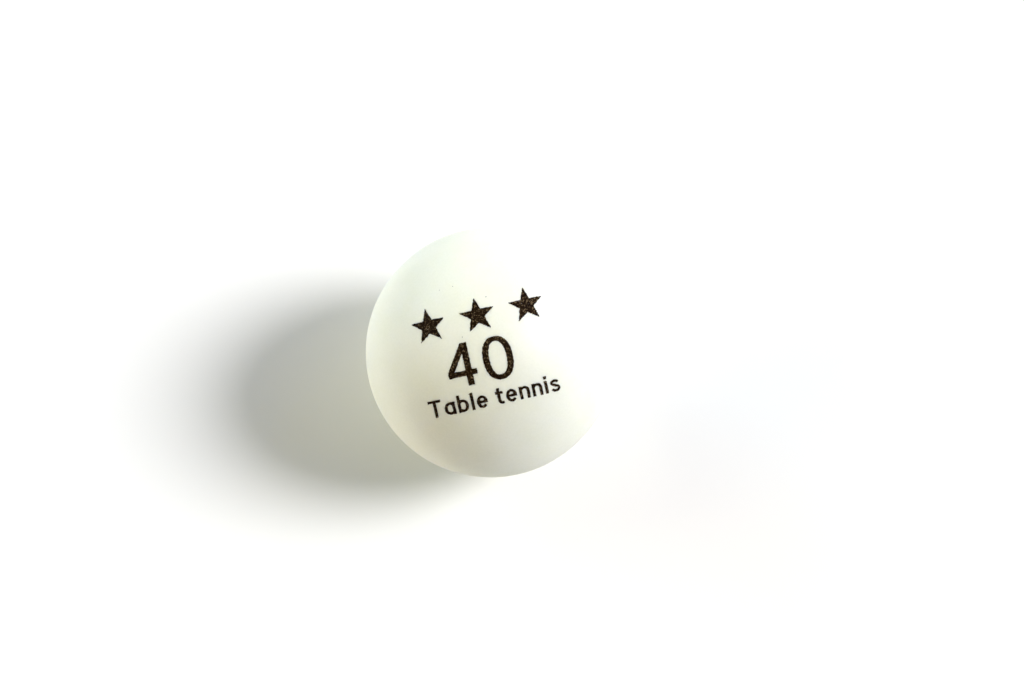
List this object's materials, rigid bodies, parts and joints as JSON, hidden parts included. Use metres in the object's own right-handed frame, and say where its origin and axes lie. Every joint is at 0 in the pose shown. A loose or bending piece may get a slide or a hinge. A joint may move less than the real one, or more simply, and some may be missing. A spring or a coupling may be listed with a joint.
{
  "type": "table tennis ball",
  "caption": "Hollow white table tennis ball of thin plastic half shells cemented at the equator, with a size number and plain print.",
  "frame": {"origin": "the ball's centre", "axes": "+Z along the seam's axis, out through the printed half; the seam lies in the XY plane; the print faces 16 degrees from +Z towards -Y, and its lines run along +X turned 12.5 degrees"},
  "size_m": [0.04, 0.04, 0.04],
  "materials": {
    "celluloid": "dry, fine-ground matte, slightly translucent",
    "cement": "satin, slightly yellower than the shells",
    "ink": "thin pad-printed ink, matte"
  },
  "bodies": {
    "root": {"printed_half_shell": "celluloid", "plain_half_shell": "celluloid", "seam_cement_ring": "cement", "ink_star_1": "ink", "ink_star_2": "ink", "ink_star_3": "ink", "ink_digit_4": "ink", "ink_digit_0": "ink", "ink_letter_01_T": "ink", "ink_letter_02_a": "ink", "ink_letter_03_b": "ink", "ink_letter_04_l": "ink", "ink_letter_05_e": "ink", "ink_letter_06_t": "ink", "ink_letter_07_e": "ink", "ink_letter_08_n": "ink", "ink_letter_09_n": "ink", "ink_letter_10_i": "ink", "ink_letter_10_i_dot": "ink", "ink_letter_11_s": "ink"}
  },
  "joints": []
}
